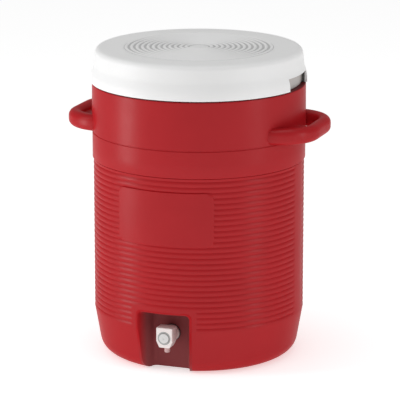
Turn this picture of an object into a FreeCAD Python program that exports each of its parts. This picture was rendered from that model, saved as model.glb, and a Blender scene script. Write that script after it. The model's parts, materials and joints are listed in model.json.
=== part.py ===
import FreeCAD, Part
import math
import os

# Ten US gallon round insulated beverage cooler with a press-fit lid, two side handles
# and a push-button faucet in an alcove at the foot of its wall.
# Millimetres. Origin at the centre of the base, +Z up, faucet towards -Y, handles at +X and -X.

Vector = FreeCAD.Vector
ORIGIN = Vector(0, 0, 0)
UP = Vector(0, 0, 1)
ALONG_Y = Vector(0, 1, 0)
FRONT = -90.0             # angle of the faucet's side about +Z, in degrees

# ---- driving dimensions: outer shell ----
WALL_R = 181.5            # ribbed wall, at the crest of the ribs
BAND_R = 183.2            # smooth band between the two steps
UPPER_BAND_R = 184.0      # upper band, at its lower edge
UPPER_BAND_TOP_R = 183.3  # upper band, at its upper edge
NECK_R = 171.0            # the liner's folded rim, which the lid's skirt covers
NECK_WALL = 4.0
SHELL_WALL = 4.0
TAPER_TOP_Z = 79.0
FOOT_Z = 37.4             # a second height on the tapered foot
FOOT_R = 174.2            # radius of the foot at FOOT_Z
BASE_FILLET = 27.6
BASE_RECESS = 4.0         # hollow of the base inside its foot ring
BASE_RING_R = 122.0       # inner radius of the foot ring
RECESS_SLOPE = 4.0
STEP_Z = 343.3
STEP_RISE = 1.2
LEDGE_Z = 391.0
LEDGE_RISE = 0.8
SHOULDER_Z = 474.1
SHOULDER_EDGE = 3.0
RIM_Z = 503.0

# ---- driving dimensions: ribs and label panel ----
RIB_COUNT = 28
RIB_PITCH = 9.4
RIB_FIRST_Z = 84.0
RIB_DEPTH = 1.4
RIB_CREST_OUT = 0.15      # the cutter's crests stay this far outside the wall
RIB_FLOOR = 0.25          # half width of a groove's floor
RIB_HALF_ANGLE = 82.0     # from the front, on each side
RIB_EXIT_R = 12.0         # the grooves run out along an arc of this radius
RIB_EXIT_ANGLE = 45.0
CUTTER_OUT = 4.0          # how far a cutter stands outside the surface it cuts
PANEL_HALF_WIDTH = 85.4
PANEL_LOW_Z = 224.0
PANEL_HIGH_Z = 319.0
PANEL_CORNER = 10.0
PANEL_PROUD = 0.6
PANEL_ROOT = 3.0

# ---- driving dimensions: alcove for the faucet ----
ALCOVE_BACK_Y = -131.5
ALCOVE_BACK_HALF = 32.0
ALCOVE_FLARE = 0.327      # growth of the half width for each mm towards the front
ALCOVE_TOP_Z = 106.0
ALCOVE_CORNER = 8.0
ALCOVE_MOUTH_EDGE = 3.5
ALCOVE_MARGIN = 9.0       # smooth border between the alcove and the ribs
ALCOVE_FOAM = 10.0

# ---- driving dimensions: liner and foam ----
TUB_R = 160.0
TUB_FOOT_R = 152.0
TUB_FLOOR_Z = 30.0
TUB_TAPER_TOP_Z = 90.0
TUB_CORNER = 18.0
LINER_WALL = 3.0
LINER_FLANGE = 3.0
PLUG_R = 14.0             # foam filling plug in the base
PLUG_HEAD_R = 18.0
PLUG_HEAD = 2.0
PLUG_Y = 70.0

# ---- driving dimensions: handles ----
HANDLE_TIP_X = 226.0
HANDLE_HALF_WIDTH = 96.0
HANDLE_CORNER = 71.0
HANDLE_THICK = 23.0
HANDLE_LOW_Z = 391.2
HANDLE_HEIGHT = 28.0
HANDLE_EDGE = 11.0
HANDLE_ROOT_X = 120.0
HANDLE_INNER_R = 174.5    # how deep the arms reach into the wall
LUG_R = 179.0             # locking flange behind the shell wall
LUG_HALF_ANGLE = 6.5
LUG_EXTRA_Z = 5.0

# ---- driving dimensions: lid ----
LID_BOTTOM_Z = 475.1
LID_TOP_Z = 533.1         # flat top between the ridges
LID_BAND_LOW_R = 185.6    # wider band round the foot of the skirt
LID_BAND_HIGH_R = 185.0
LID_BAND_TOP_Z = 493.0
LID_SKIRT_LOW_R = 181.0
LID_SKIRT_LOW_Z = 498.0
LID_SKIRT_HIGH_R = 178.0
LID_EDGE = 9.5
LID_WALL = 3.0
LID_INNER_R = 172.0
LID_INNER_WALL = 2.5
LID_SHELF_Z = 508.5       # top of the skirt's inner wall, where the lid liner rests
LID_FLANGE = 2.5
LID_PLUG_R = 159.5
LID_PLUG_LOW_Z = 480.0
LID_PLUG_CORNER = 6.0
LID_FLANGE_R = 175.5
RIDGE_COUNT = 12
RIDGE_FIRST_R = 22.0
RIDGE_PITCH = 9.3
RIDGE_HALF = 3.0
RIDGE_HEIGHT = 1.5
NOTCH_HALF_WIDTH = 44.0
NOTCH_HEIGHT = 21.5
NOTCH_FLOOR_R = 174.5
NOTCH_WALL = 2.5
NOTCH_CORNER = 4.0
GASKET_IN_R = 161.5
GASKET_OUT_R = 169.0

# ---- driving dimensions: faucet ----
TAP_Z = 62.0
FACE_Y = -172.5
BLOCK_BACK_Y = -150.0
BLOCK_HALF = 14.5
BLOCK_TOP = 18.0          # above the axis
BLOCK_WAIST = -6.0        # where the lower corners start, below the axis
BLOCK_BOTTOM = -17.0
BLOCK_FOOT_HALF = 9.3
BLOCK_EDGE = 1.6
BARREL_R = 12.5
COLLAR_R = 13.8
COLLAR_Y = -139.0
COLLAR_BACK_Y = -134.0
SHANK_R = 10.0
SHANK_END_Y = -101.0
SLEEVE_IN_R = 10.3
SLEEVE_OUT_R = 12.5
OUTER_WASHER_R = 14.8
INNER_WASHER_R = 17.0
WASHER_THICK = 2.5
NUT_ACROSS_R = 18.0
NUT_THICK = 8.0
NUT_FLANGE_R = 19.5
NUT_FLANGE = 2.0
THREAD_GAP = 0.05
BONNET_R = 11.6
BONNET_THICK = 2.2
BUTTON_R = 8.6
BUTTON_GAP = 0.4
BUTTON_PROUD = 1.8
BUTTON_FLANGE_R = 10.2
BUTTON_FLANGE = 1.3
BUTTON_DIMPLE_R = 1.6
BUTTON_DIMPLE = 0.6
BUTTON_EDGE = 0.8
STOP_GAP = 0.2
SPRING_ROOM_R = 10.6
GUIDE_Y = -162.0          # front face of the stem guide wall
GUIDE_THICK = 2.6
STEM_R = 2.2
STEM_FIT = 0.05
STEM_RING_R = 4.0
STEM_RING_THICK = 1.4
OUTLET_ROOM_R = 7.0
SEAT_Y = -152.6           # upstream face of the valve seat
SEAT_THICK = 1.5
SEAT_HOLE_R = 5.0
SEAL_R = 7.6
SEAL_THICK = 2.4
STEM_HEAD_R = 3.4
STEM_HEAD = 1.4
INLET_ROOM_R = 8.8
INLET_ROOM_END_Y = -143.0
FLOW_R = 6.0
SPOUT_Y = -157.2
SPOUT_R = 4.9
SPOUT_BORE_R = 3.2
SPOUT_BORE_TOP = 5.0      # below the axis, inside the outlet room
SPOUT_ROOT = 2.6          # how far the nozzle is pressed into the block
SPOUT_LENGTH = 11.0
SPOUT_EDGE = 0.7
WIRE_R = 0.35
SPRING_R = 7.2
SPRING_TURNS = 3.0


def save(shape, node):
    """Write one sub-part as one closed solid."""
    shape.exportStep("parts/" + node + ".step")
    print(node, len(shape.Solids), "solid", shape.isValid(), round(shape.Volume))


def solid_of(shape):
    """The single largest solid of a boolean result, without seams between equal faces."""
    clean = shape.removeSplitter()
    return max(clean.Solids, key=lambda s: s.Volume)


def profile(points):
    """A face in the XZ plane. A point is (r, z), or (r, z, r_mid, z_mid) for an arc that ends there."""
    edges = []
    last = Vector(points[0][0], 0, points[0][1])
    start = last
    for point in points[1:]:
        here = Vector(point[0], 0, point[1])
        if len(point) == 4:
            middle = Vector(point[2], 0, point[3])
            edges.append(Part.Arc(last, middle, here).toShape())
        else:
            edges.append(Part.LineSegment(last, here).toShape())
        last = here
    edges.append(Part.LineSegment(last, start).toShape())
    return Part.Face(Part.Wire(edges))


def turned(points):
    """The solid of revolution about +Z of a profile."""
    return profile(points).revolve(ORIGIN, UP, 360)


def plan_prism(points, low_z, high_z):
    """A prism over a polygon drawn in the XY plane."""
    corners = [Vector(x, y, low_z) for x, y in points]
    face = Part.Face(Part.makePolygon(corners + corners[:1]))
    return face.extrude(Vector(0, 0, high_z - low_z))


def front_prism(points, low_y, high_y):
    """A prism over a polygon drawn in the XZ plane."""
    corners = [Vector(x, low_y, z) for x, z in points]
    face = Part.Face(Part.makePolygon(corners + corners[:1]))
    return face.extrude(Vector(0, high_y - low_y, 0))


def rod(radius, low_y, high_y, z=TAP_Z):
    """A cylinder along Y on the faucet's axis."""
    return Part.makeCylinder(radius, high_y - low_y, Vector(0, low_y, z), ALONG_Y)


def tube(outer_r, inner_r, low_y, high_y, z=TAP_Z):
    return rod(outer_r, low_y, high_y, z).cut(rod(inner_r, low_y, high_y, z))


def edges_where(shape, test):
    """The edges whose every sampled point passes the test."""
    chosen = []
    for edge in shape.Edges:
        first, last = edge.ParameterRange
        samples = [edge.valueAt(first + (last - first) * part) for part in (0, 0.5, 1)]
        if all(test(p) for p in samples):
            chosen.append(edge)
    return chosen


def mirrored(shape):
    return shape.mirror(ORIGIN, Vector(1, 0, 0))


# ---- outer shell, foam and liner ----
def base_corner(inset):
    """The points of the base's rounded corner, offset inwards from the outer surface."""
    slope = (WALL_R - FOOT_R) / (TAPER_TOP_Z - FOOT_Z)
    line_r = FOOT_R - slope * FOOT_Z
    lean = math.atan(slope)
    centre_r = line_r + slope * BASE_FILLET - BASE_FILLET / math.cos(lean)
    radius = BASE_FILLET - inset
    half = (math.pi / 2 + lean) / 2 - lean
    end = (centre_r + radius * math.cos(lean), BASE_FILLET - radius * math.sin(lean))
    middle_angle = -(lean + math.pi / 2) / 2
    middle = (centre_r + radius * math.cos(middle_angle), BASE_FILLET + radius * math.sin(middle_angle))
    return (centre_r, inset), end + middle


def outer_body():
    """The full outer form of the cooler below its lid, before anything is cut from it."""
    corner_start, corner_end = base_corner(0)
    return turned([
        (0, BASE_RECESS),
        (BASE_RING_R - RECESS_SLOPE, BASE_RECESS),
        (BASE_RING_R, 0),
        corner_start,
        corner_end,
        (WALL_R, TAPER_TOP_Z),
        (WALL_R, STEP_Z),
        (BAND_R, STEP_Z + STEP_RISE),
        (BAND_R, LEDGE_Z),
        (UPPER_BAND_R, LEDGE_Z + LEDGE_RISE),
        (UPPER_BAND_TOP_R, SHOULDER_Z - SHOULDER_EDGE),
        (UPPER_BAND_TOP_R - SHOULDER_EDGE, SHOULDER_Z,
         UPPER_BAND_TOP_R - SHOULDER_EDGE * (1 - math.sqrt(0.5)),
         SHOULDER_Z - SHOULDER_EDGE * (1 - math.sqrt(0.5))),
        (0, SHOULDER_Z),
    ])


def shell_cavity():
    """The space inside the outer shell, open through the ring of its shoulder."""
    corner_start, corner_end = base_corner(SHELL_WALL)
    return turned([
        (0, BASE_RECESS + SHELL_WALL),
        (BASE_RING_R - RECESS_SLOPE / 2, BASE_RECESS + SHELL_WALL),
        (BASE_RING_R + RECESS_SLOPE / 2, SHELL_WALL),
        corner_start,
        corner_end,
        (WALL_R - SHELL_WALL, TAPER_TOP_Z),
        (WALL_R - SHELL_WALL, STEP_Z),
        (BAND_R - SHELL_WALL, STEP_Z + STEP_RISE + SHELL_WALL),
        (UPPER_BAND_TOP_R - SHELL_WALL, SHOULDER_Z - SHELL_WALL),
        (NECK_R - NECK_WALL, SHOULDER_Z - SHELL_WALL),
        (NECK_R - NECK_WALL, SHOULDER_Z),
        (0, SHOULDER_Z),
    ])


def tub_form(grow, top_z):
    """The round tub, grown outwards by a wall thickness."""
    corner = TUB_CORNER + grow
    floor_z = TUB_FLOOR_Z - grow
    foot_r = TUB_FOOT_R + grow
    bend = corner * (1 - math.sqrt(0.5))
    return turned([
        (0, floor_z),
        (foot_r - corner, floor_z),
        (foot_r, floor_z + corner, foot_r - bend, floor_z + bend),
        (TUB_R + grow, TUB_TAPER_TOP_Z),
        (TUB_R + grow, top_z),
        (0, top_z),
    ])


def alcove_form(grow):
    """The recess for the faucet, open at the front and below, grown by a thickness."""
    front_y = -WALL_R - SHELL_WALL * CUTTER_OUT
    back_y = ALCOVE_BACK_Y + grow
    back_half = ALCOVE_BACK_HALF + grow
    front_half = back_half + ALCOVE_FLARE * (ALCOVE_BACK_Y - front_y)
    top_z = ALCOVE_TOP_Z + grow
    block = plan_prism(
        [(-front_half, front_y), (front_half, front_y), (back_half, back_y), (-back_half, back_y)],
        -CUTTER_OUT, top_z)

    def is_soft_edge(p):
        return abs(p.y - front_y) > 1e-6 and p.z > -CUTTER_OUT + 1e-6

    soft_edges = [e for e in block.Edges if is_soft_edge(e.valueAt(sum(e.ParameterRange) / 2))]
    return block.makeFillet(ALCOVE_CORNER + grow / 2, soft_edges)


def rib_cutters():
    """Combs that cut the grooves on the front and back; the ridges between grooves are rounded."""
    half = RIB_PITCH / 2
    crest_r = WALL_R + RIB_CREST_OUT
    floor_r = WALL_R - RIB_DEPTH
    drop = crest_r - floor_r
    run = half - RIB_FLOOR
    low_z = RIB_FIRST_Z - half
    high_z = RIB_FIRST_Z + (RIB_COUNT - 1) * RIB_PITCH + half
    points = [(WALL_R + CUTTER_OUT, low_z), (crest_r, low_z)]
    for index in range(RIB_COUNT):
        z = RIB_FIRST_Z + index * RIB_PITCH
        points.append((floor_r, z - RIB_FLOOR, crest_r - drop / 4, z - half + run / 2))
        points.append((floor_r, z + RIB_FLOOR))
        points.append((crest_r, z + half, crest_r - drop / 4, z + half - run / 2))
    points.append((WALL_R + CUTTER_OUT, high_z))
    comb = profile(points)
    combs = []
    for middle in (FRONT, FRONT + 180):
        start = comb.rotated(ORIGIN, UP, middle - RIB_HALF_ANGLE)
        combs.append(start.revolve(ORIGIN, UP, 2 * RIB_HALF_ANGLE))
        for side in (-1, 1):
            angle = math.radians(middle + side * RIB_HALF_ANGLE)
            end = comb.rotated(ORIGIN, UP, math.degrees(angle))
            pivot_r = WALL_R + RIB_EXIT_R
            pivot = Vector(pivot_r * math.cos(angle), pivot_r * math.sin(angle), 0)
            combs.append(end.revolve(pivot, UP, -side * RIB_EXIT_ANGLE))
    keep_half = ALCOVE_BACK_HALF + ALCOVE_FLARE * (ALCOVE_BACK_Y + WALL_R) + ALCOVE_MARGIN
    border = Part.makeBox(2 * keep_half, 2 * WALL_R, ALCOVE_TOP_Z + ALCOVE_MARGIN,
                          Vector(-keep_half, -2 * WALL_R, 0))
    combs[0] = combs[0].cut(border)
    return combs


def label_panel():
    """A smooth pad with rounded corners, a little proud of the ribs, for a label."""
    pad = front_prism(
        [(-PANEL_HALF_WIDTH, PANEL_LOW_Z), (PANEL_HALF_WIDTH, PANEL_LOW_Z),
         (PANEL_HALF_WIDTH, PANEL_HIGH_Z), (-PANEL_HALF_WIDTH, PANEL_HIGH_Z)],
        -2 * WALL_R, 0)
    corners = [e for e in pad.Edges if abs(e.Length - 2 * WALL_R) < 1e-6]
    pad = pad.makeFillet(PANEL_CORNER, corners)
    ring = turned([
        (WALL_R - PANEL_ROOT, PANEL_LOW_Z - CUTTER_OUT),
        (WALL_R + PANEL_PROUD, PANEL_LOW_Z - CUTTER_OUT),
        (WALL_R + PANEL_PROUD, PANEL_HIGH_Z + CUTTER_OUT),
        (WALL_R - PANEL_ROOT, PANEL_HIGH_Z + CUTTER_OUT),
    ])
    return ring.common(pad)


def soften_alcove_mouth(body):
    """Round the edges where the alcove meets the outer wall."""
    def on_mouth(p):
        radius = math.hypot(p.x, p.y)
        inside = p.y < ALCOVE_BACK_Y + CUTTER_OUT and radius > FOOT_R - CUTTER_OUT
        return inside and FOOT_Z - 1 < p.z < ALCOVE_TOP_Z + 1 and abs(p.x) < ALCOVE_BACK_HALF * 2
    mouth = edges_where(body, on_mouth)
    try:
        return body.makeFillet(ALCOVE_MOUTH_EDGE, mouth)
    except Exception as problem:
        print("mouth left sharp:", problem)
        return body


def foam_plug():
    """The cap that closes the hole in the base through which the foam was poured."""
    stem = Part.makeCylinder(PLUG_R, SHELL_WALL, Vector(0, PLUG_Y, BASE_RECESS))
    head = Part.makeCylinder(PLUG_HEAD_R, PLUG_HEAD, Vector(0, PLUG_Y, BASE_RECESS - PLUG_HEAD))
    return solid_of(stem.fuse(head))


def make_shell_and_liner(handles, plug):
    """The wall, the cup let into it for the faucet, the tub with its folded rim, and the foam."""
    cavity = shell_cavity()
    recess = alcove_form(SHELL_WALL)
    body = outer_body().cut(alcove_form(0))
    body = soften_alcove_mouth(solid_of(body))
    hole = rod(SLEEVE_OUT_R, ALCOVE_BACK_Y - CUTTER_OUT, TAP_Z)
    cup = body.common(recess).cut(hole)
    wall = body.cut(recess).cut(rib_cutters())
    wall = wall.fuse(label_panel())
    shell = wall.cut(cavity).cut(handles + [plug])

    liner_grow = SHELL_WALL + ALCOVE_FOAM
    tub_outer = tub_form(LINER_WALL, RIM_Z).cut(alcove_form(liner_grow))
    tub_inner = tub_form(0, RIM_Z + LINER_FLANGE).cut(alcove_form(liner_grow + LINER_WALL))
    flange = Part.makeCylinder(NECK_R, LINER_FLANGE, Vector(0, 0, RIM_Z))
    neck = Part.makeCylinder(NECK_R, RIM_Z - SHOULDER_Z, Vector(0, 0, SHOULDER_Z))
    neck_space = Part.makeCylinder(NECK_R - NECK_WALL, RIM_Z - SHOULDER_Z, Vector(0, 0, SHOULDER_Z))
    liner = tub_outer.fuse([flange, neck.cut(neck_space)]).cut([tub_inner, hole])
    foam = cavity.fuse(neck_space).cut([recess, tub_outer, hole, plug] + handles)
    save(solid_of(cup), "alcove_cup")
    save(solid_of(shell), "outer_shell")
    save(solid_of(liner), "liner")
    save(solid_of(foam), "wall_foam")


# ---- handles ----
def d_form(tip_x, half_width, corner, low_z, height):
    """A D-shaped plate: a rectangle whose two outer corners are large arcs."""
    plate = Part.makeBox(tip_x - HANDLE_ROOT_X, 2 * half_width, height,
                         Vector(HANDLE_ROOT_X, -half_width, low_z))
    corners = edges_where(plate, lambda p: abs(p.x - tip_x) < 1e-6 and abs(abs(p.y) - half_width) < 1e-6)
    return plate.makeFillet(corner, corners)


def make_handle():
    """A grip loop whose two arms pass through the shell wall and are held by lugs behind it."""
    outer = d_form(HANDLE_TIP_X, HANDLE_HALF_WIDTH, HANDLE_CORNER, HANDLE_LOW_Z, HANDLE_HEIGHT)
    inner = d_form(HANDLE_TIP_X - HANDLE_THICK, HANDLE_HALF_WIDTH - HANDLE_THICK,
                   HANDLE_CORNER - HANDLE_THICK, HANDLE_LOW_Z, HANDLE_HEIGHT)
    loop = outer.cut(inner)
    rims = edges_where(loop, lambda p: min(abs(p.z - HANDLE_LOW_Z), abs(p.z - HANDLE_LOW_Z - HANDLE_HEIGHT)) < 1e-6
                       and p.x > HANDLE_ROOT_X - 1e-6)
    rims = [e for e in rims if e.valueAt(sum(e.ParameterRange) / 2).x > HANDLE_ROOT_X + 1e-6]
    loop = loop.makeFillet(HANDLE_EDGE, rims)
    core = Part.makeCylinder(HANDLE_INNER_R, RIM_Z)
    grip = loop.cut(core)
    lugs = []
    arm_angle = math.degrees(math.asin((HANDLE_HALF_WIDTH - HANDLE_THICK / 2) / LUG_R))
    lug_face = profile([
        (HANDLE_INNER_R, HANDLE_LOW_Z - LUG_EXTRA_Z),
        (LUG_R, HANDLE_LOW_Z - LUG_EXTRA_Z),
        (LUG_R, HANDLE_LOW_Z + HANDLE_HEIGHT + LUG_EXTRA_Z),
        (HANDLE_INNER_R, HANDLE_LOW_Z + HANDLE_HEIGHT + LUG_EXTRA_Z),
    ])
    for side in (-1, 1):
        start = lug_face.rotated(ORIGIN, UP, side * arm_angle - LUG_HALF_ANGLE)
        lugs.append(start.revolve(ORIGIN, UP, 2 * LUG_HALF_ANGLE))
    return solid_of(grip.fuse(lugs))


# ---- lid ----
def lid_outline(inset):
    """The lid's outer outline above its bottom edge, offset inwards by a wall thickness."""
    high_r = LID_SKIRT_HIGH_R - inset
    edge = LID_EDGE - inset
    top_z = LID_TOP_Z - inset
    bend = edge * (1 - math.sqrt(0.5))
    return [
        (LID_BAND_LOW_R - inset, LID_BOTTOM_Z + inset),
        (LID_BAND_HIGH_R - inset, LID_BAND_TOP_Z),
        (LID_SKIRT_LOW_R - inset, LID_SKIRT_LOW_Z),
        (high_r, top_z - edge),
        (high_r - edge, top_z, high_r - bend, top_z - bend),
    ]


def ridge_points():
    """The concentric ridges on the lid's top, from the outermost inwards."""
    points = []
    for index in reversed(range(RIDGE_COUNT)):
        radius = RIDGE_FIRST_R + index * RIDGE_PITCH
        points.append((radius + RIDGE_HALF, LID_TOP_Z))
        points.append((radius - RIDGE_HALF, LID_TOP_Z, radius, LID_TOP_Z + RIDGE_HEIGHT))
    return points


def notch_form(grow):
    """The two finger notches at the foot of the skirt, above the handles."""
    half = NOTCH_HALF_WIDTH + grow
    top_z = LID_BOTTOM_Z + NOTCH_HEIGHT + grow
    bar = Part.makeBox(4 * LID_SKIRT_LOW_R, 2 * half, NOTCH_HEIGHT + grow + CUTTER_OUT,
                       Vector(-2 * LID_SKIRT_LOW_R, -half, LID_BOTTOM_Z - CUTTER_OUT))
    top_edges = edges_where(bar, lambda p: abs(p.z - top_z) < 1e-6 and abs(abs(p.y) - half) < 1e-6)
    bar = bar.makeFillet(NOTCH_CORNER + grow, top_edges)
    floor = Part.makeCylinder(NOTCH_FLOOR_R - grow, RIM_Z)
    return bar.cut(floor)


def make_lid():
    outline = lid_outline(0)
    outer = turned([(0, LID_BOTTOM_Z)] + outline + ridge_points() + [(0, LID_TOP_Z)])
    bore = Part.makeCylinder(LID_INNER_R, LID_SHELF_Z - LID_BOTTOM_Z, Vector(0, 0, LID_BOTTOM_Z))
    inner_wall_r = LID_INNER_R + LID_INNER_WALL
    pocket_outline = lid_outline(LID_WALL)
    above = turned([(0, LID_SHELF_Z), (inner_wall_r, LID_SHELF_Z), (inner_wall_r, LID_BOTTOM_Z + LID_WALL)]
                   + pocket_outline + [(0, LID_TOP_Z - LID_WALL)])
    pocket = above.cut(notch_form(NOTCH_WALL))
    cover = outer.cut([bore, notch_form(0), pocket])

    bend = LID_PLUG_CORNER * (1 - math.sqrt(0.5))
    plug_r = LID_PLUG_R
    inner_r = plug_r - LID_WALL
    low_z = LID_PLUG_LOW_Z
    shelf_top = LID_SHELF_Z + LID_FLANGE
    pan = turned([
        (0, low_z),
        (plug_r - LID_PLUG_CORNER, low_z),
        (plug_r, low_z + LID_PLUG_CORNER, plug_r - bend, low_z + bend),
        (plug_r, LID_SHELF_Z),
        (LID_FLANGE_R, LID_SHELF_Z),
        (LID_FLANGE_R, shelf_top),
        (inner_r, shelf_top),
        (inner_r, low_z + LID_PLUG_CORNER),
        (inner_r - LID_PLUG_CORNER + LID_WALL, low_z + LID_WALL, inner_r - bend / 2, low_z + LID_WALL + bend / 2),
        (0, low_z + LID_WALL),
    ])
    pan_space = Part.makeCylinder(inner_r, LID_SHELF_Z - low_z, Vector(0, 0, low_z))
    foam = pocket.fuse(pan_space).cut(pan)
    gasket_low = RIM_Z + LINER_FLANGE
    gasket = Part.makeCylinder(GASKET_OUT_R, LID_SHELF_Z - gasket_low, Vector(0, 0, gasket_low))
    gasket = gasket.cut(Part.makeCylinder(GASKET_IN_R, LID_SHELF_Z - gasket_low, Vector(0, 0, gasket_low)))
    save(solid_of(cover), "lid_cover")
    save(solid_of(pan), "lid_liner")
    save(solid_of(foam), "lid_foam")
    save(gasket, "lid_gasket")


# ---- faucet ----
def faucet_block():
    """The shield-shaped front of the faucet, square above and narrowed below."""
    block = front_prism([
        (-BLOCK_HALF, TAP_Z + BLOCK_TOP), (BLOCK_HALF, TAP_Z + BLOCK_TOP),
        (BLOCK_HALF, TAP_Z + BLOCK_WAIST), (BLOCK_FOOT_HALF, TAP_Z + BLOCK_BOTTOM),
        (-BLOCK_FOOT_HALF, TAP_Z + BLOCK_BOTTOM), (-BLOCK_HALF, TAP_Z + BLOCK_WAIST),
    ], FACE_Y, BLOCK_BACK_Y)
    return block.makeFillet(BLOCK_EDGE, block.Edges)


def make_faucet_fixed():
    """The faucet's body, clamped through the wall by its nut, and what is pressed into it."""
    body = faucet_block().fuse([
        rod(BARREL_R, BLOCK_BACK_Y - BLOCK_EDGE - 1, COLLAR_BACK_Y),
        rod(COLLAR_R, COLLAR_Y, COLLAR_BACK_Y),
        rod(SHANK_R, COLLAR_BACK_Y, SHANK_END_Y),
    ])
    guide_back = GUIDE_Y + GUIDE_THICK
    seat_front = SEAT_Y - SEAT_THICK
    bonnet_back = FACE_Y + BONNET_THICK
    ring_low = GUIDE_Y
    outlet = Part.makeCylinder(SPOUT_BORE_R, TAP_Z - SPOUT_BORE_TOP, Vector(0, SPOUT_Y, 0))
    nozzle_seat = Part.makeCylinder(SPOUT_R, SPOUT_ROOT, Vector(0, SPOUT_Y, TAP_Z + BLOCK_BOTTOM))
    body = body.cut([
        rod(BONNET_R, FACE_Y - CUTTER_OUT, bonnet_back),
        rod(SPRING_ROOM_R, bonnet_back, GUIDE_Y),
        rod(STEM_R + STEM_FIT, GUIDE_Y, guide_back),
        rod(STEM_RING_R, ring_low, ring_low + STEM_RING_THICK),
        rod(OUTLET_ROOM_R, guide_back, seat_front),
        rod(SEAT_HOLE_R, seat_front, SEAT_Y),
        rod(INLET_ROOM_R, SEAT_Y, INLET_ROOM_END_Y),
        rod(FLOW_R, INLET_ROOM_END_Y, SHANK_END_Y),
        outlet, nozzle_seat,
    ])
    bonnet = tube(BONNET_R, BUTTON_R + BUTTON_GAP, FACE_Y, bonnet_back)
    stem_ring = tube(STEM_RING_R, STEM_R + STEM_FIT, ring_low, ring_low + STEM_RING_THICK)
    nozzle_low = TAP_Z + BLOCK_BOTTOM - SPOUT_LENGTH
    nozzle = Part.makeCylinder(SPOUT_R, SPOUT_LENGTH + SPOUT_ROOT, Vector(0, SPOUT_Y, nozzle_low))
    nozzle = nozzle.makeChamfer(SPOUT_EDGE, edges_where(nozzle, lambda p: abs(p.z - nozzle_low) < 1e-6))
    nozzle = nozzle.cut(outlet)
    save(solid_of(body), "faucet_body")
    save(bonnet, "faucet_bonnet")
    save(stem_ring, "stem_seal_ring")
    save(solid_of(nozzle), "spout_nozzle")

    inside_y = ALCOVE_BACK_Y + SHELL_WALL + ALCOVE_FOAM + LINER_WALL
    nut_y = inside_y + WASHER_THICK
    save(tube(OUTER_WASHER_R, SLEEVE_IN_R, COLLAR_BACK_Y, ALCOVE_BACK_Y), "outer_washer")
    save(tube(SLEEVE_OUT_R, SLEEVE_IN_R, ALCOVE_BACK_Y, inside_y), "wall_sleeve")
    save(tube(INNER_WASHER_R, SLEEVE_IN_R, inside_y, nut_y), "inner_washer")
    hexagon = [
        (NUT_ACROSS_R * math.cos(math.radians(60 * i)), TAP_Z + NUT_ACROSS_R * math.sin(math.radians(60 * i)))
        for i in range(6)
    ]
    nut = front_prism(hexagon, nut_y, nut_y + NUT_THICK)
    nut = nut.fuse(rod(NUT_FLANGE_R, nut_y, nut_y + NUT_FLANGE))
    nut = nut.cut(rod(SHANK_R + THREAD_GAP, nut_y, nut_y + NUT_THICK))
    save(solid_of(nut), "lock_nut")


def make_faucet_moving():
    """The push button, and the stem and rubber seal that it pushes off the valve seat."""
    button_front = FACE_Y - BUTTON_PROUD
    flange_front = FACE_Y + BONNET_THICK + STOP_GAP
    flange_back = flange_front + BUTTON_FLANGE
    head = rod(BUTTON_R, button_front, flange_front)
    head = head.makeFillet(BUTTON_EDGE, edges_where(head, lambda p: abs(p.y - button_front) < 1e-6))
    button = head.fuse(rod(BUTTON_FLANGE_R, flange_front, flange_back))
    button = button.cut(rod(BUTTON_DIMPLE_R, button_front - 1, button_front + BUTTON_DIMPLE))
    save(solid_of(button), "push_button")

    seal_back = SEAT_Y + SEAL_THICK
    stem = rod(STEM_R, flange_back, seal_back).fuse(rod(STEM_HEAD_R, seal_back, seal_back + STEM_HEAD))
    save(solid_of(stem), "valve_stem")
    save(tube(SEAL_R, STEM_R, SEAT_Y, seal_back), "valve_seal")

    coil_length = GUIDE_Y - flange_back - 2 * WIRE_R
    helix = Part.makeHelix(coil_length / SPRING_TURNS, coil_length, SPRING_R)
    start = helix.Edges[0].valueAt(helix.Edges[0].ParameterRange[0])
    section = Part.Wire(Part.makeCircle(WIRE_R, start, ALONG_Y))
    spring = helix.makePipeShell([section], True, True)
    spring.rotate(ORIGIN, Vector(1, 0, 0), -90)
    spring.translate(Vector(0, flange_back + WIRE_R, TAP_Z))
    save(spring, "return_spring")


def main():
    os.makedirs("parts", exist_ok=True)
    right = make_handle()
    left = mirrored(right)
    plug = foam_plug()
    save(right, "right_handle")
    save(left, "left_handle")
    save(plug, "foam_fill_plug")
    make_shell_and_liner([right, left], plug)
    make_lid()
    make_faucet_fixed()
    make_faucet_moving()


main()
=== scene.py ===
import json
import math

import bmesh
import bpy
import numpy as np
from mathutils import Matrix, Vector


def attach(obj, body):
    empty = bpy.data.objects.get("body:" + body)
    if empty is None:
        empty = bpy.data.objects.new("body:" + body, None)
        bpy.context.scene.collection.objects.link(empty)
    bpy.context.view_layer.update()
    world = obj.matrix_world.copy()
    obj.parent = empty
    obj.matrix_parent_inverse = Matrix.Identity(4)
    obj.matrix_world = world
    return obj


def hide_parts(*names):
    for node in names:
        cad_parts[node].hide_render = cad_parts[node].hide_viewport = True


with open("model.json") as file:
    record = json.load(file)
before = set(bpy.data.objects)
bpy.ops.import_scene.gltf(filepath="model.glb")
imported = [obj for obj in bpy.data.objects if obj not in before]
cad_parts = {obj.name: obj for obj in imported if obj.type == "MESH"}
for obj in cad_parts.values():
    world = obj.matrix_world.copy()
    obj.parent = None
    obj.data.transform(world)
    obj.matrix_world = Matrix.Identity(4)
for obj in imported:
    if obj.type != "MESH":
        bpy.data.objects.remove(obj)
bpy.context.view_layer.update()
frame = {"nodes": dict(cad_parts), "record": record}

# ---- the view: degrees, metres and millimetres of lens ----
CAMERA_TURN = 20.0
CAMERA_RISE = 14.03
CAMERA_DISTANCE = 4.612
CAMERA_LENS = 239.7
CAMERA_CLIP = 100.0
SENSOR = 36.0
AIM_HEIGHT = 0.2629
AIM_SIDE = 0.0018

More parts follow.
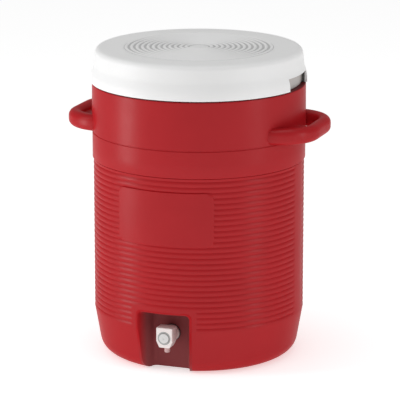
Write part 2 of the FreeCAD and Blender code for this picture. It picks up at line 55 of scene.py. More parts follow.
# ---- the stage: sizes in metres, light powers in watts ----
FLOOR_SIZE = 60.0
FLOOR_TONES = ((0.93, 0.93, 0.93), (0.92, 0.92, 0.92))
FLOOR_MOTTLE = (0.5, 2.0)
FLOOR_ROUGHNESS = 0.9
FLOOR_GLOW = 0.51
AIR_LIGHT = 0.46
WHITE_LIGHT = (1, 1, 1, 1)
SOFTBOXES = (
    # name, turn from the camera, rise, distance, width, height, power
    ("key_softbox", -80, 30, 2.6, 0.55, 1.6, 9),
    ("low_softbox", -78, 1, 1.3, 0.36, 0.5, 3.4),
    ("rim_softbox", 62, 6, 3.0, 0.45, 2.2, 14),
    ("overhead_softbox", 0, 86, 2.6, 1.8, 1.8, 14),
)

# ---- sizes of the built pieces, in metres ----
WALL_R = 0.1815
BAND_R = 0.1832
UPPER_LOW_R, UPPER_MID_R, UPPER_HIGH_R = 0.1840, 0.18365, 0.1833
SHOULDER_IN_R = 0.1670
FOOT_R, FOOT_Z = 0.1742, 0.0374
TAPER_TOP_Z = 0.079
BASE_FILLET = 0.0276
BASE_RECESS = 0.004
BASE_RING_R = 0.122
RECESS_SLOPE = 0.004
STEP_Z, STEP_TOP_Z = 0.3433, 0.3445
BAND_MID_Z = 0.367
LEDGE_Z, LEDGE_TOP_Z = 0.3910, 0.3918
UPPER_MID_Z = 0.432
SHOULDER_Z = 0.4741
SHOULDER_EDGE = 0.003

RIB_PITCH = 0.0094
RIB_FIRST_CREST = 0.0793
RIB_LAST_CREST = 0.3425
RIB_DEPTH = 0.0014
RIB_GAP = 0.0001          # flat left between a crest and the next
RIB_REACH = 82.0          # degrees from the middle of the front or back
RIB_FADE = 3.0

PANEL_HALF, PANEL_LOW, PANEL_HIGH = 0.0854, 0.224, 0.319
PANEL_CORNER = 0.0125
PANEL_PROUD = 0.0006
PANEL_SOFT = 0.0009

CUP_BACK_Y, CUP_BACK_HALF, CUP_FLARE, CUP_TOP = -0.1315, 0.032, 0.327, 0.106
CUP_WALL = 0.004
CUP_CORNER = 0.008
CUP_BORDER = 0.009
CUP_RIB_FADE = 0.0025
CUP_LAP = 0.0004          # how far the tuck reaches past the cup's rim
LINE_DEPTH = 0.0009       # fine groove under each step
TUCK = 0.00015            # the wall dips this far where the cup's rim lies over it

HANDLE_TIP, HANDLE_HALF, HANDLE_BEND = 0.226, 0.096, 0.071
HANDLE_THICK, HANDLE_LOW, HANDLE_TALL, HANDLE_EDGE = 0.023, 0.3912, 0.028, 0.011
HANDLE_START, HANDLE_SECOND = 0.151, 0.1535
ARM_SWELL, ARM_SWELL_FROM = 1.0, 0.046   # the arms thicken inwards where they meet the wall

LID_LOW, LID_TOP = 0.4751, 0.5331
LID_BAND_LOW_R, LID_BAND_HIGH_R, LID_BAND_TOP = 0.1856, 0.1850, 0.493
LID_SKIRT_LOW_R, LID_SKIRT_LOW_Z, LID_SKIRT_HIGH_R = 0.1810, 0.498, 0.1780
LID_BLEND = 0.0075        # how far up and down the skirt's bends are softened
LID_EDGE = 0.0095
LID_FLAT_R = LID_SKIRT_HIGH_R - LID_EDGE
LID_BORE_R, LID_SHELF = 0.172, 0.5095
RIDGE_FIRST, RIDGE_PITCH, RIDGE_HALF, RIDGE_HEIGHT, RIDGE_COUNT = 0.022, 0.0093, 0.0030, 0.0015, 12
RIDGE_SINK = 0.0008
NOTCH_HALF, NOTCH_TOP, NOTCH_FLOOR_R = 0.0460, 0.4966, 0.1745
NOTCH_FOOT_TURN, NOTCH_EDGE_TURN = 14.1, 14.5   # degrees from the notch's middle

# ---- fineness of the built skins ----
SHARP = math.radians(34)
WELD = 1e-6
ROUND_STEPS = 12          # rows round the base
TAPER_STEP = 0.006
SHOULDER_STEPS = 6
RIB_ROWS = (0.0, 0.0005, 0.0014, 0.0029, 0.0047)
PANEL_ROWS = (-0.0012, -0.0006, 0.0, 0.0006, 0.0012)
BASE_ROWS, RING_ROWS = (0.0, 0.04, 0.09), (0.130, 0.138)
SOFT = 0.0003             # half height of a softened corner
LINE_LEAD, LINE_FOOT, LINE_RISE = 0.0022, 0.0012, 0.0002
LEDGE_SOFT, LEDGE_HAIR = 0.0006, 0.00001
SHOULDER_LEAD = 0.001
BEND_STEPS = 28
SECTION_STEPS = 8
RIDGE_ROWS = (-0.00465, -0.0030, -0.0020, -0.0010, 0.0, 0.0010, 0.0020, 0.0030)
TOP_ROWS, TOP_EDGE_ROWS = (0.0, 0.008, 0.015), (0.1290, 0.135, 0.150, 0.162)
LID_EDGE_STEPS = 10
SKIRT_ROWS = (0.519, 0.513, 0.506, 0.502, 0.500, 0.4992, 0.4985, 0.4978, 0.4971, NOTCH_TOP + 0.00005,
              NOTCH_TOP - 0.00005, 0.4960, 0.4953, 0.4946, 0.4939, 0.4932, 0.4925, 0.4915, 0.4895, 0.484,
              0.479, LID_LOW + 0.0010)
RIM_SOFT, RIM_IN, BORE_SOFT = 0.0003, 0.0010, 0.0006
# Columns as (degrees, spacing from there on), finer at the alcove, the panel's sides and the rib ends.
WALL_STOPS = ((0, 1.3), (13, 0.45), (19, 1.25), (24, 0.55), (27.2, 0.16), (28.6, 1.25), (78, 0.7), (86, 1.7),
              (94, 0.7), (102, 1.6), (180, 1))
LID_NOTCH_STOPS, LID_ROUND_STOPS = ((0, 1.5), (13.5, 1)), ((15.6, 1.5), (90, 1))

# ---- colours ----
RED = (0.412, 0.0095, 0.0140)
RED_DEEP = (0.387, 0.0085, 0.0125)
RED_SHADE = (0.120, 0.0080, 0.0100)
RED_SHADE_HEIGHT = (0.4722, 0.4732)      # the shadowed edge under the lid
RED_LEVEL = 0.015                        # a low specular level keeps the red deep at its outline
RED_SHEEN = (15, 15, 15, 1)              # and this lifts the sheen where it is seen straight on
# painted shade: the alcove's red darkens from its mouth towards the back, as if in shadow
CUP_PAINTED_SHADE = (0.262, 0.0600, 0.0630)
CUP_SHADE_SPAN = (-0.172, -0.152)         # depth from the mouth to the back of the alcove
CUP_LEVEL = 0.06
LID_WHITE = (0.87, 0.87, 0.87)
LID_WHITE_WARM = (0.85, 0.85, 0.845)
# painted shade: the finger notches' floors and side walls are darkened as if in shadow
NOTCH_FLOOR_SHADE = (0.46, 0.43, 0.41)
NOTCH_WALL_SHADE = (0.07, 0.068, 0.066)
NOTCH_SHADE_TOP = (0.49635, 0.4966)
NOTCH_FLOOR_SHADE_REACH = ((0.1728, 0.1732), (0.1760, 0.1765))
NOTCH_WALL_SHADE_REACH = ((0.1757, 0.1763), (0.1800, 0.1822))
# painted shade between the ridges of the lid's top
GROOVE_SHADE = (0.55, 0.55, 0.55)
GROOVE_SHADE_REACH = (0.1275, 0.1285)
GROOVE_SHADE_HEIGHTS = ((0.5315, 0.5318), (0.5324, 0.5332))
NOZZLE_TONE = (0.60, 0.40, 0.39)
NOZZLE_TOP = (0.0440, 0.0450)


def direction(turn, rise):
    """Unit vector from the object towards a viewer: turn 0 is in front, positive is round to the right."""
    a, e = math.radians(turn), math.radians(rise)
    return Vector((math.sin(a) * math.cos(e), -math.cos(a) * math.cos(e), math.sin(e)))


def look_at(item, spot, target):
    item.location = spot
    item.rotation_mode = "QUATERNION"
    item.rotation_quaternion = (target - spot).to_track_quat("-Z", "Y")


def make_camera():
    data = bpy.data.cameras.new("studio_camera")
    data.sensor_width = SENSOR
    data.lens = CAMERA_LENS
    data.clip_end = CAMERA_CLIP
    camera = bpy.data.objects.new("studio_camera", data)
    bpy.context.scene.collection.objects.link(camera)
    a = math.radians(CAMERA_TURN)
    aim = Vector((0, 0, AIM_HEIGHT)) + Vector((math.cos(a), math.sin(a), 0)) * AIM_SIDE
    look_at(camera, aim + direction(CAMERA_TURN, CAMERA_RISE) * CAMERA_DISTANCE, aim)
    bpy.context.scene.camera = camera


# ---- materials ----
class Recipe:
    """A small helper that builds one node-based plastic, rubber, foam or steel."""

    def __init__(self, name):
        self.material = bpy.data.materials.new(name)
        self.material.use_nodes = True
        self.tree = self.material.node_tree
        self.tree.nodes.clear()
        self.output = self.add("ShaderNodeOutputMaterial")
        self.shader = self.add("ShaderNodeBsdfPrincipled")
        self.link(self.shader.outputs["BSDF"], self.output.inputs["Surface"])
        self.where = self.add("ShaderNodeTexCoord").outputs["Object"]

    def add(self, kind, **settings):
        node = self.tree.nodes.new(kind)
        for key, value in settings.items():
            setattr(node, key, value)
        return node

    def link(self, source, target):
        self.tree.links.new(source, target)

    def noise(self, scale, detail):
        noise = self.add("ShaderNodeTexNoise")
        noise.inputs["Scale"].default_value = scale
        noise.inputs["Detail"].default_value = detail
        self.link(self.where, noise.inputs["Vector"])
        return noise.outputs["Fac"]

    def ramp(self, source, low, high, start=0.3, end=0.7):
        """Turn a pattern or a position into a range of values."""
        spread = self.add("ShaderNodeMapRange")
        spread.inputs["From Min"].default_value = start
        spread.inputs["From Max"].default_value = end
        spread.inputs["To Min"].default_value = low
        spread.inputs["To Max"].default_value = high
        self.link(source, spread.inputs["Value"])
        return spread.outputs["Result"]

    def past(self, source, span):
        """0 before the span and 1 after it."""
        return self.ramp(source, 0, 1, *span)

    def short_of(self, source, span):
        """1 before the span and 0 after it."""
        return self.ramp(source, 1, 0, *span)

    def both(self, first, second):
        node = self.add("ShaderNodeMath", operation="MULTIPLY")
        self.link(first, node.inputs[0])
        self.link(second, node.inputs[1])
        return node.outputs[0]

    def axis(self, letter):
        """The point's own X, Y or Z."""
        split = self.add("ShaderNodeSeparateXYZ")
        self.link(self.where, split.inputs["Vector"])
        return split.outputs[letter]

    def reach(self):
        """The point's distance from the upright middle axis."""
        flat = self.add("ShaderNodeCombineXYZ")
        self.link(self.axis("X"), flat.inputs["X"])
        self.link(self.axis("Y"), flat.inputs["Y"])
        length = self.add("ShaderNodeVectorMath", operation="LENGTH")
        self.link(flat.outputs["Vector"], length.inputs[0])
        return length.outputs["Value"]

    def tint(self, source, first, second):
        """Vary the base colour between two near tones."""
        mix = self.add("ShaderNodeMix", data_type="RGBA")
        mix.inputs["A"].default_value = (*first, 1)
        mix.inputs["B"].default_value = (*second, 1)
        self.link(self.ramp(source, 0, 1), mix.inputs["Factor"])
        self.link(mix.outputs["Result"], self.shader.inputs["Base Color"])

    def deepen(self, share, tone):
        """Lay a deeper tone over the base colour where share is 1."""
        under = self.shader.inputs["Base Color"].links[0].from_socket
        mix = self.add("ShaderNodeMix", data_type="RGBA")
        self.link(share, mix.inputs["Factor"])
        self.link(under, mix.inputs["A"])
        mix.inputs["B"].default_value = (*tone, 1)
        self.link(mix.outputs["Result"], self.shader.inputs["Base Color"])

    def roughness(self, source, low, high):
        self.link(self.ramp(source, low, high), self.shader.inputs["Roughness"])

    def grain(self, bumps):
        """Stack bumps, each (noise scale, noise detail, height in metres)."""
        normal = None
        for scale, detail, height in bumps:
            bump = self.add("ShaderNodeBump")
            bump.inputs["Distance"].default_value = height
            self.link(self.noise(scale, detail), bump.inputs["Height"])
            if normal is not None:
                self.link(normal, bump.inputs["Normal"])
            normal = bump.outputs["Normal"]
        self.link(normal, self.shader.inputs["Normal"])


def mottled(name, mottle, tones, gloss, bumps):
    """A mottled, slightly uneven finish: mottle is (scale, detail), gloss is (scale, detail, low, high)."""
    m = Recipe(name)
    m.tint(m.noise(*mottle), *tones)
    m.roughness(m.noise(*gloss[:2]), *gloss[2:])
    m.grain(bumps)
    return m


ORANGE_PEEL = ((260.0, 3.0, 0.00006), (1400.0, 2.0, 0.00002))


def moulded_red():
    """Satin polyethylene with a faint orange peel from the mould, in shadow at the lid's foot."""
    m = mottled("moulded_red", (14.0, 3.0), (RED, RED_DEEP), (45.0, 4.0, 0.30, 0.36), ORANGE_PEEL)
    m.deepen(m.past(m.axis("Z"), RED_SHADE_HEIGHT), RED_SHADE)
    m.shader.inputs["Specular IOR Level"].default_value = RED_LEVEL
    m.shader.inputs["Specular Tint"].default_value = RED_SHEEN
    return m.material


def cup_red():
    """The same red, rougher and less glossy, with shade painted on deep inside the faucet's alcove."""
    m = mottled("alcove_red", (14.0, 3.0), (RED, RED_DEEP), (45.0, 4.0, 0.45, 0.55), ORANGE_PEEL)
    # painted shade: darker towards the back of the alcove
    m.deepen(m.past(m.axis("Y"), CUP_SHADE_SPAN), CUP_PAINTED_SHADE)
    m.shader.inputs["Specular IOR Level"].default_value = CUP_LEVEL
    return m.material


def lid_white():
    """White lid plastic, with shade painted in the finger notches and between the ridges of the top."""
    m = mottled("lid_white", (10.0, 3.0), (LID_WHITE, LID_WHITE_WARM), (60.0, 4.0, 0.42, 0.55),
               ((320.0, 3.0, 0.00005), (1500.0, 2.0, 0.00002)))
    height, reach = m.axis("Z"), m.reach()
    # painted shade in the notches' floors and side walls, below the notches' top
    low = m.short_of(height, NOTCH_SHADE_TOP)
    for (inner, outer), tone in ((NOTCH_FLOOR_SHADE_REACH, NOTCH_FLOOR_SHADE), (NOTCH_WALL_SHADE_REACH, NOTCH_WALL_SHADE)):
        m.deepen(m.both(low, m.both(m.past(reach, inner), m.short_of(reach, outer))), tone)
    # painted shade between the ridges of the top
    groove_shade_band = m.both(m.past(height, GROOVE_SHADE_HEIGHTS[0]), m.short_of(height, GROOVE_SHADE_HEIGHTS[1]))
    m.deepen(m.both(groove_shade_band, m.short_of(reach, GROOVE_SHADE_REACH)), GROOVE_SHADE)
    return m.material


def liner_white():
    return mottled("liner_white", (8.0, 2.0), ((0.82, 0.82, 0.81), (0.79, 0.79, 0.775)),
                  (40.0, 3.0, 0.22, 0.32), ((240.0, 2.0, 0.00002),)).material


def faucet_white():
    """Warm white plastic, darker and pinker in the nozzle."""
    m = mottled("faucet_white", (60.0, 3.0), ((0.87, 0.80, 0.78), (0.84, 0.77, 0.75)),
               (200.0, 3.0, 0.26, 0.36), ((900.0, 2.0, 0.00002),))
    m.deepen(m.short_of(m.axis("Z"), NOZZLE_TOP), NOZZLE_TONE)
    return m.material


def button_white():
    return mottled("button_white", (80.0, 3.0), ((0.70, 0.70, 0.69), (0.66, 0.66, 0.65)),
                  (240.0, 3.0, 0.24, 0.34), ((1000.0, 2.0, 0.00002),)).material


def ring_grey():
    return mottled("ring_grey", (90.0, 3.0), ((0.40, 0.41, 0.40), (0.36, 0.37, 0.36)),
                  (240.0, 3.0, 0.32, 0.42), ((1000.0, 2.0, 0.00002),)).material


def seal_rubber():
    return mottled("seal_rubber", (50.0, 4.0), ((0.055, 0.055, 0.058), (0.035, 0.035, 0.038)),
                  (120.0, 3.0, 0.62, 0.78), ((800.0, 3.0, 0.00004),)).material


def wall_foam():
    return mottled("poured_foam", (35.0, 4.0), ((0.74, 0.64, 0.40), (0.66, 0.55, 0.32)),
                  (90.0, 3.0, 0.80, 0.92), ((500.0, 4.0, 0.0004),)).material


def spring_steel():
    m = mottled("spring_steel", (300.0, 3.0), ((0.62, 0.62, 0.63), (0.52, 0.52, 0.53)),
               (500.0, 3.0, 0.22, 0.34), ((1500.0, 2.0, 0.00001),))
    m.shader.inputs["Metallic"].default_value = 1.0
    return m.material


# ---- mesh helpers ----
def smoothstep(value, low, high):
    t = np.clip((value - low) / (high - low), 0.0, 1.0)
    return t * t * (3 - 2 * t)


def spaced(stops):
    """Values from (start, step) pairs; the last pair's start closes the list."""
    values = []
    for (start, step), (end, _) in zip(stops, stops[1:]):
        count = max(1, round((end - start) / step))
        values.extend(start + (end - start) * i / count for i in range(count))
    return values + [stops[-1][0]]


def grid_mesh(name, points, keep=None):
    """A skin over rows and columns of points, closed into a ring along each row."""
    rows, columns = points.shape[:2]
    here = np.arange(rows * columns).reshape(rows, columns)
    after = np.roll(here, -1, axis=1)
    quads = np.stack([here[:-1], after[:-1], after[1:], here[1:]], axis=-1)
    if keep is not None:
        quads = quads[keep]
    quads = quads.reshape(-1, 4)
    mesh = bpy.data.meshes.new(name)
    mesh.from_pydata(points.reshape(-1, 3).tolist(), [], quads.tolist())
    mesh.validate()
    return mesh


def smooth_with_creases(mesh):
    mesh.polygons.foreach_set("use_smooth", [True] * len(mesh.polygons))
    mesh.set_sharp_from_angle(angle=SHARP)
    mesh.update()


def weld(mesh, distance=WELD):
    """Join points that meet, and drop what has no area or no face."""
    work = bmesh.new()
    work.from_mesh(mesh)
    bmesh.ops.remove_doubles(work, verts=work.verts, dist=distance)
    bmesh.ops.dissolve_degenerate(work, dist=distance, edges=work.edges)
    loose = [v for v in work.verts if not v.link_faces]
    bmesh.ops.delete(work, geom=loose, context="VERTS")
    work.to_mesh(mesh)
    work.free()


def place(name, mesh, material, body, nodes):
    """Make the piece, ride it on its body and let it stand for its CAD nodes."""
    weld(mesh)
    smooth_with_creases(mesh)
    piece = bpy.data.objects.new(name, mesh)
    bpy.context.scene.collection.objects.link(piece)
    mesh.materials.clear()
    mesh.materials.append(material)
    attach(piece, body)
    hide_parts(*nodes)


# ---- ridges, as one set of geometry nodes ----
def ridge_nodes():
    """Rows of rounded ridges pushed out of a skin that carries along, share and push for each point."""
    tree = bpy.data.node_groups.new("moulded_ridges", "GeometryNodeTree")
    tree.interface.new_socket("Geometry", in_out="INPUT", socket_type="NodeSocketGeometry")
    for label in ("First", "Pitch", "Half Width", "Height"):
        tree.interface.new_socket(label, in_out="INPUT", socket_type="NodeSocketFloat")
    tree.interface.new_socket("Material", in_out="INPUT", socket_type="NodeSocketMaterial")
    tree.interface.new_socket("Geometry", in_out="OUTPUT", socket_type="NodeSocketGeometry")
    start = tree.nodes.new("NodeGroupInput")
    end = tree.nodes.new("NodeGroupOutput")

    def attribute(label, kind):
        node = tree.nodes.new("GeometryNodeInputNamedAttribute")
        node.data_type = kind
        node.inputs["Name"].default_value = label
        return node.outputs["Attribute"]

    def maths(operation, first, second=None):
        node = tree.nodes.new("ShaderNodeMath")
        node.operation = operation
        for socket, value in zip(node.inputs, (first, second)):
            if isinstance(value, (int, float)):
                socket.default_value = value
            elif value is not None:
                tree.links.new(value, socket)
        return node.outputs[0]

    steps = maths("DIVIDE", maths("SUBTRACT", attribute("along", "FLOAT"), start.outputs["First"]),
                  start.outputs["Pitch"])
    off = maths("ABSOLUTE", maths("SUBTRACT", maths("FRACT", maths("ADD", steps, 0.5)), 0.5))
    across = maths("DIVIDE", maths("MULTIPLY", off, start.outputs["Pitch"]), start.outputs["Half Width"])
    rise = maths("MAXIMUM", maths("SUBTRACT", 1.0, maths("POWER", across, 2.0)), 0.0)
    amount = maths("MULTIPLY", maths("MULTIPLY", rise, start.outputs["Height"]), attribute("share", "FLOAT"))
    scale = tree.nodes.new("ShaderNodeVectorMath")
    scale.operation = "SCALE"
    tree.links.new(attribute("push", "FLOAT_VECTOR"), scale.inputs[0])
    tree.links.new(amount, scale.inputs["Scale"])
    move = tree.nodes.new("GeometryNodeSetPosition")
    realize = tree.nodes.new("GeometryNodeRealizeInstances")
    paint = tree.nodes.new("GeometryNodeSetMaterial")
    tree.links.new(start.outputs["Geometry"], move.inputs["Geometry"])
    tree.links.new(scale.outputs["Vector"], move.inputs["Offset"])
    tree.links.new(move.outputs["Geometry"], realize.inputs["Geometry"])
    tree.links.new(realize.outputs["Geometry"], paint.inputs["Geometry"])
    tree.links.new(start.outputs["Material"], paint.inputs["Material"])
    tree.links.new(paint.outputs["Geometry"], end.inputs["Geometry"])
    return tree


def with_ridges(mesh, tree, material, along, share, push, settings):
    """Run the ridge nodes on a skin and give back the plain mesh."""
    fields = (("along", "FLOAT", along, "value"), ("share", "FLOAT", share, "value"),
              ("push", "FLOAT_VECTOR", push, "vector"))
    for label, kind, values, field in fields:
        layer = mesh.attributes.new(label, kind, "POINT")
        layer.data.foreach_set(field, np.ascontiguousarray(values, dtype=np.float32).ravel())
    carrier = bpy.data.objects.new("carrier", mesh)
    bpy.context.scene.collection.objects.link(carrier)
    modifier = carrier.modifiers.new("ridges", "NODES")
    modifier.node_group = tree
    wanted = dict(settings, Material=material)
    for item in tree.interface.items_tree:
        if item.in_out == "INPUT" and item.name in wanted:
            modifier[item.identifier] = wanted[item.name]
    view = bpy.context.evaluated_depsgraph_get()
    made = bpy.data.meshes.new_from_object(carrier.evaluated_get(view))
    bpy.data.objects.remove(carrier)
    for label, *_ in fields:
        made.attributes.remove(made.attributes[label])
    return made


# ---- outer wall ----
def in_cup(x, y, z, grow):
    """Whether points lie inside the faucet's alcove, grown by a distance."""
    corner = CUP_CORNER + grow / 2
    half = CUP_BACK_HALF + grow + CUP_FLARE * (CUP_BACK_Y - y)
    top = CUP_TOP + grow
    over = np.maximum(0, np.abs(x) - (half - corner))
    rise = np.maximum(0, z - (top - corner))
    return (y < CUP_BACK_Y + grow) & (np.hypot(over, rise) < corner)


def foot_rows():
    """The base's recess and ring, the round of the foot and the taper above it."""
    slope = (WALL_R - FOOT_R) / (TAPER_TOP_Z - FOOT_Z)
    lean = math.atan(slope)
    centre = FOOT_R - slope * FOOT_Z + slope * BASE_FILLET - BASE_FILLET / math.cos(lean)
    rows = [(r, BASE_RECESS) for r in BASE_ROWS + (BASE_RING_R - RECESS_SLOPE,)]
    rows += [(r, 0.0) for r in (BASE_RING_R,) + RING_ROWS]
    for i in range(ROUND_STEPS + 1):
        a = -math.pi / 2 + (math.pi / 2 - lean) * i / ROUND_STEPS
        rows.append((centre + BASE_FILLET * math.cos(a), BASE_FILLET + BASE_FILLET * math.sin(a)))
    for z in spaced([(rows[-1][1] + TAPER_STEP / 2, TAPER_STEP), (TAPER_TOP_Z, 1)]):
        rows.append((WALL_R - slope * (TAPER_TOP_Z - z), z))
    return rows


def ribbed_rows():
    """Rows that follow every groove, finest at its foot, and the panel's edges."""
    heights = set()
    for i in range(round((RIB_LAST_CREST - RIB_FIRST_CREST) / RIB_PITCH)):
        groove = RIB_FIRST_CREST + (i + 0.5) * RIB_PITCH
        for step in RIB_ROWS:
            heights.update((round(groove - step, 6), round(groove + step, 6)))
    for edge in (PANEL_LOW, PANEL_HIGH):
        heights.update(round(edge + step, 6) for step in PANEL_ROWS)
    return [(WALL_R, z) for z in sorted(heights)]


def upper_rows():
    """The two steps with the fine line under each, and the rounded shoulder."""
    line_r, band_line_r = WALL_R - LINE_DEPTH, BAND_R - LINE_DEPTH
    rows = [(line_r, STEP_Z - LINE_RISE), (line_r, STEP_Z), (BAND_R - SOFT, STEP_TOP_Z - SOFT),
            (BAND_R, STEP_TOP_Z + SOFT), (BAND_R, BAND_MID_Z), (BAND_R, LEDGE_Z - LINE_LEAD),
            (band_line_r, LEDGE_Z - LINE_FOOT), (band_line_r, LEDGE_Z), (UPPER_LOW_R, LEDGE_TOP_Z),
            (UPPER_LOW_R - LEDGE_HAIR, LEDGE_TOP_Z + LEDGE_SOFT), (UPPER_MID_R, UPPER_MID_Z),
            (UPPER_HIGH_R, SHOULDER_Z - SHOULDER_EDGE - SHOULDER_LEAD)]
    for i in range(SHOULDER_STEPS + 1):
        a = math.pi / 2 * i / SHOULDER_STEPS
        rows.append((UPPER_HIGH_R - SHOULDER_EDGE + SHOULDER_EDGE * math.cos(a),
                     SHOULDER_Z - SHOULDER_EDGE + SHOULDER_EDGE * math.sin(a)))
    return rows + [(SHOULDER_IN_R, SHOULDER_Z)]


def wall_columns():
    """Angles from the front, the same to both sides."""
    half = spaced(WALL_STOPS)
    return np.radians(np.array([-a for a in reversed(half[1:-1])] + half))


def panel_share(x, y, z):
    """1 on the label panel, 0 off it, with a soft rounded edge."""
    middle = (PANEL_LOW + PANEL_HIGH) / 2
    over = np.maximum(0, np.abs(x) - (PANEL_HALF - PANEL_CORNER))
    rise = np.maximum(0, np.abs(z - middle) - (middle - PANEL_LOW - PANEL_CORNER))
    outside = np.hypot(over, rise) - PANEL_CORNER
    return (1 - smoothstep(outside, -PANEL_SOFT, 0.0)) * (y < 0)


def rib_share(angle, x, y, z):
    """How deep the grooves are: full on front and back, fading at the sides and round the alcove."""
    turn = np.degrees(np.abs(angle))
    turn = np.minimum(turn, 180 - turn)
    share = 1 - smoothstep(turn, RIB_REACH, RIB_REACH + RIB_FADE)
    share = share * (z > RIB_FIRST_CREST) * (z < RIB_LAST_CREST)
    half = CUP_BACK_HALF + CUP_FLARE * (CUP_BACK_Y + WALL_R) + CUP_BORDER
    beside = np.maximum(np.abs(x) - half, z - (CUP_TOP + CUP_BORDER))
    return share * np.where(y < 0, smoothstep(beside, 0.0, CUP_RIB_FADE), 1.0)


def make_wall(tree, material):
    profile = np.array(foot_rows() + ribbed_rows() + upper_rows())
    angle = wall_columns()
    radius = np.repeat(profile[:, :1], len(angle), axis=1)
    z = np.repeat(profile[:, 1:], len(angle), axis=1)
    turn = np.repeat(angle[None, :], len(profile), axis=0)
    out_x, out_y = np.sin(turn), -np.cos(turn)
    share = rib_share(turn, radius * out_x, radius * out_y, z)
    panel = panel_share(radius * out_x, radius * out_y, z)
    share = share * (1 - panel)
    radius = radius - RIB_DEPTH * share + PANEL_PROUD * panel
    tucked = in_cup(radius * out_x, radius * out_y, z, CUP_WALL + CUP_LAP)
    radius = radius - TUCK * tucked * (z > BASE_RECESS)
    z = z + TUCK * tucked * (z <= BASE_RECESS)
    points = np.stack([radius * out_x, radius * out_y, z], axis=-1)
    middle = (points[:-1] + points[1:]) / 2
    middle = (middle + np.roll(middle, -1, axis=1)) / 2
    keep = ~in_cup(middle[..., 0], middle[..., 1], middle[..., 2], CUP_WALL / 2)
    mesh = grid_mesh("moulded_wall", points, keep)
    push = np.stack([out_x, out_y, np.zeros_like(out_x)], axis=-1)
    mesh = with_ridges(mesh, tree, material, z, share, push, {
        "First": RIB_FIRST_CREST, "Pitch": RIB_PITCH, "Half Width": RIB_PITCH / 2 - RIB_GAP,
        "Height": RIB_DEPTH})
    place("moulded_wall", mesh, material, "cooler", ["outer_shell"])


# ---- handles ----
def handle_path():
    """The middle line of a grip: points, and the outward direction at each."""
    half = HANDLE_HALF - HANDLE_THICK / 2
    tip = HANDLE_TIP - HANDLE_THICK / 2
    bend = HANDLE_BEND - HANDLE_THICK / 2
    path = [((HANDLE_START, -half), (0.0, -1.0)), ((HANDLE_SECOND, -half), (0.0, -1.0))]
    for side in (-1, 1):
        for i in range(BEND_STEPS + 1):
            a = math.pi / 2 * i / BEND_STEPS
            a = a - math.pi / 2 if side < 0 else a
            out = (math.cos(a), math.sin(a))
            centre = (tip - bend, side * (half - bend))
            path.append(((centre[0] + bend * out[0], centre[1] + bend * out[1]), out))
    return path + [((HANDLE_SECOND, half), (0.0, 1.0)), ((HANDLE_START, half), (0.0, 1.0))]


def make_handle(side, name, material, node):
    """Sweep a rounded section round the grip's path."""
    section = []
    wide, tall = HANDLE_THICK / 2 - HANDLE_EDGE, HANDLE_TALL / 2 - HANDLE_EDGE
    for quarter, (sx, sz) in enumerate(((1, 1), (-1, 1), (-1, -1), (1, -1))):
        for i in range(SECTION_STEPS + 1):
            a = math.pi / 2 * (quarter + i / SECTION_STEPS)
            section.append((sx * wide + HANDLE_EDGE * math.cos(a), sz * tall + HANDLE_EDGE * math.sin(a)))
    middle_z = HANDLE_LOW + HANDLE_TALL / 2
    rings = []
    for (x, y), (out_x, out_y) in handle_path():
        swell = 1 + ARM_SWELL * float(smoothstep(abs(y), ARM_SWELL_FROM, HANDLE_HALF - HANDLE_THICK / 2))
        ring = [(a if a > 0 else a * swell, b) for a, b in section]
        rings.append([(side * (x + out_x * a), y + out_y * a, middle_z + b) for a, b in ring])
    points = np.array(rings)
    if side > 0:
        points = points[:, ::-1]
    place(name, grid_mesh(name, points), material, "cooler", [node])


# ---- lid ----
def skirt_radius(z):
    """The skirt's outer radius at a height, with its wider band blended in at the foot."""
    heights = (LID_LOW, LID_BAND_TOP, LID_SKIRT_LOW_Z, LID_TOP - LID_EDGE)
    radii = (LID_BAND_LOW_R, LID_BAND_HIGH_R, LID_SKIRT_LOW_R, LID_SKIRT_HIGH_R)
    reach = np.linspace(-LID_BLEND, LID_BLEND, 11)
    return float(np.mean(np.interp(z + reach, heights, radii)))


def lid_outside():
    """Rows (radius, height) from the middle of the top, over the edge and down the skirt."""
    rows = [(r, LID_TOP) for r in TOP_ROWS]
    crests = [RIDGE_FIRST + i * RIDGE_PITCH for i in range(RIDGE_COUNT)]
    radii = {round(crest + step, 6) for crest in crests for step in RIDGE_ROWS}
    rows += [(r, LID_TOP - RIDGE_SINK) for r in sorted(radii)]
    rows += [(r, LID_TOP) for r in TOP_EDGE_ROWS]
    for i in range(LID_EDGE_STEPS + 1):
        a = math.pi / 2 * (1 - i / LID_EDGE_STEPS)
        rows.append((LID_FLAT_R + LID_EDGE * math.cos(a), LID_TOP - LID_EDGE + LID_EDGE * math.sin(a)))
    rows += [(skirt_radius(z), z) for z in SKIRT_ROWS]
    return rows + [(LID_BAND_LOW_R - RIM_SOFT, LID_LOW + RIM_SOFT), (LID_BAND_LOW_R - RIM_IN, LID_LOW)]


def lid_inside():
    """Rows up the bore and in under the top."""
    return [(LID_BORE_R + BORE_SOFT, LID_LOW), (LID_BORE_R, LID_LOW + BORE_SOFT), (LID_BORE_R, LID_SHELF),
            (0.0, LID_SHELF)]


def lid_columns():
    """Angles from the right-hand side, each "plain", "edge" of a notch or "foot" of its side wall."""
    quarter = [(a, "plain") for a in spaced(LID_NOTCH_STOPS)]
    quarter += [(NOTCH_FOOT_TURN, "foot"), (NOTCH_EDGE_TURN, "edge")]
    quarter += [(a, "plain") for a in spaced(LID_ROUND_STOPS)]
    columns = []
    for turn in range(4):
        part = quarter[:-1] if turn % 2 == 0 else [(90 - a, kind) for a, kind in reversed(quarter[1:])]
        columns.extend((90 * turn + a, kind) for a, kind in part)
    return columns


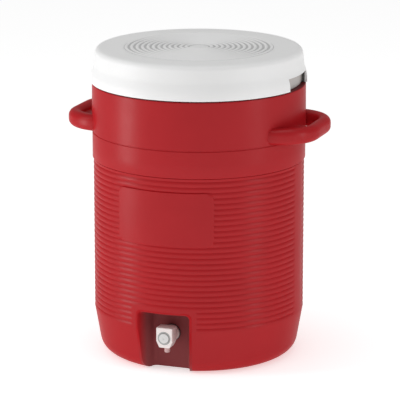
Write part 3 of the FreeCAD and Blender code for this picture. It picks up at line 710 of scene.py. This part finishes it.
def lid_point(r, z, degrees, kind, on_skirt):
    """One point of the lid's skin, stepped in to the notch's floor or set on its side wall."""
    a = math.radians(degrees)
    from_notch = abs((degrees + 90) % 180 - 90)
    notched = on_skirt and z < NOTCH_TOP
    if on_skirt and kind == "edge" or notched and kind == "foot":
        circle = r if kind == "edge" else NOTCH_FLOOR_R
        y = math.copysign(NOTCH_HALF, math.sin(a))
        return math.copysign(math.sqrt(circle * circle - y * y), math.cos(a)), y, z
    if notched and from_notch < NOTCH_FOOT_TURN:
        r = NOTCH_FLOOR_R
    return r * math.cos(a), r * math.sin(a), z


def make_lid(tree, material):
    outside, inside = lid_outside(), lid_inside()
    columns = lid_columns()
    last = RIDGE_FIRST + (RIDGE_COUNT - 0.5) * RIDGE_PITCH
    rows, shares = [], []
    for level, (r, z) in enumerate(outside + inside):
        on_outside = level < len(outside)
        on_skirt = on_outside and r > LID_FLAT_R
        rows.append([lid_point(r, z, degrees, kind, on_skirt) for degrees, kind in columns])
        shares.append([float(on_outside and r < last)] * len(columns))
    points = np.array(rows)[::-1]
    mesh = grid_mesh("lid_shell", points)
    flat = points.reshape(-1, 3)
    along = np.hypot(flat[:, 0], flat[:, 1])
    share = np.array(shares)[::-1].ravel() * (along > RIDGE_FIRST - RIDGE_PITCH / 2)
    push = np.tile((0.0, 0.0, 1.0), (len(flat), 1))
    mesh = with_ridges(mesh, tree, material, along, share, push, {
        "First": RIDGE_FIRST, "Pitch": RIDGE_PITCH, "Half Width": RIDGE_HALF,
        "Height": RIDGE_HEIGHT + RIDGE_SINK})
    place("lid_shell", mesh, material, "lid", ["lid_cover"])


def dress(finishes):
    """Give every CAD node the finish of its material slot."""
    for part in frame["record"]["subparts"]:
        node = frame["nodes"][part["node"]]
        node.data.materials.clear()
        node.data.materials.append(finishes[part["material_slot"]])


# ---- stage ----
def make_floor():
    bpy.ops.mesh.primitive_plane_add(size=FLOOR_SIZE, location=(0, 0, 0))
    floor = bpy.context.object
    floor.name = "pale_floor"
    m = Recipe("pale_floor")
    m.tint(m.noise(*FLOOR_MOTTLE), *FLOOR_TONES)
    m.shader.inputs["Roughness"].default_value = FLOOR_ROUGHNESS
    m.shader.inputs["Specular IOR Level"].default_value = 0.0
    m.shader.inputs["Emission Color"].default_value = WHITE_LIGHT
    m.shader.inputs["Emission Strength"].default_value = FLOOR_GLOW
    floor.data.materials.append(m.material)


def soft_light(name, turn, rise, distance, width, height, power):
    data = bpy.data.lights.new(name, "AREA")
    data.shape = "RECTANGLE"
    data.size = width
    data.size_y = height
    data.energy = power
    lamp = bpy.data.objects.new(name, data)
    bpy.context.scene.collection.objects.link(lamp)
    target = Vector((0, 0, AIM_HEIGHT))
    look_at(lamp, target + direction(CAMERA_TURN + turn, rise) * distance, target)


def make_lights():
    for softbox in SOFTBOXES:
        soft_light(*softbox)
    world = bpy.data.worlds.new("studio_air")
    bpy.context.scene.world = world
    world.use_nodes = True
    background = world.node_tree.nodes["Background"]
    background.inputs["Color"].default_value = WHITE_LIGHT
    background.inputs["Strength"].default_value = AIR_LIGHT
    bpy.context.scene.view_settings.view_transform = "Standard"


make_camera()
make_floor()
make_lights()
red = moulded_red()
white = lid_white()
dress({
    "red_shell": red,
    "red_cup": cup_red(),
    "red_handle": red,
    "white_lid": white,
    "white_liner": liner_white(),
    "foam": wall_foam(),
    "seal_rubber": seal_rubber(),
    "faucet_white": faucet_white(),
    "faucet_ring": ring_grey(),
    "button_white": button_white(),
    "spring_steel": spring_steel(),
})
ridges = ridge_nodes()
make_wall(ridges, red)
make_handle(1, "right_grip", red, "right_handle")
make_handle(-1, "left_grip", red, "left_handle")
make_lid(ridges, white)
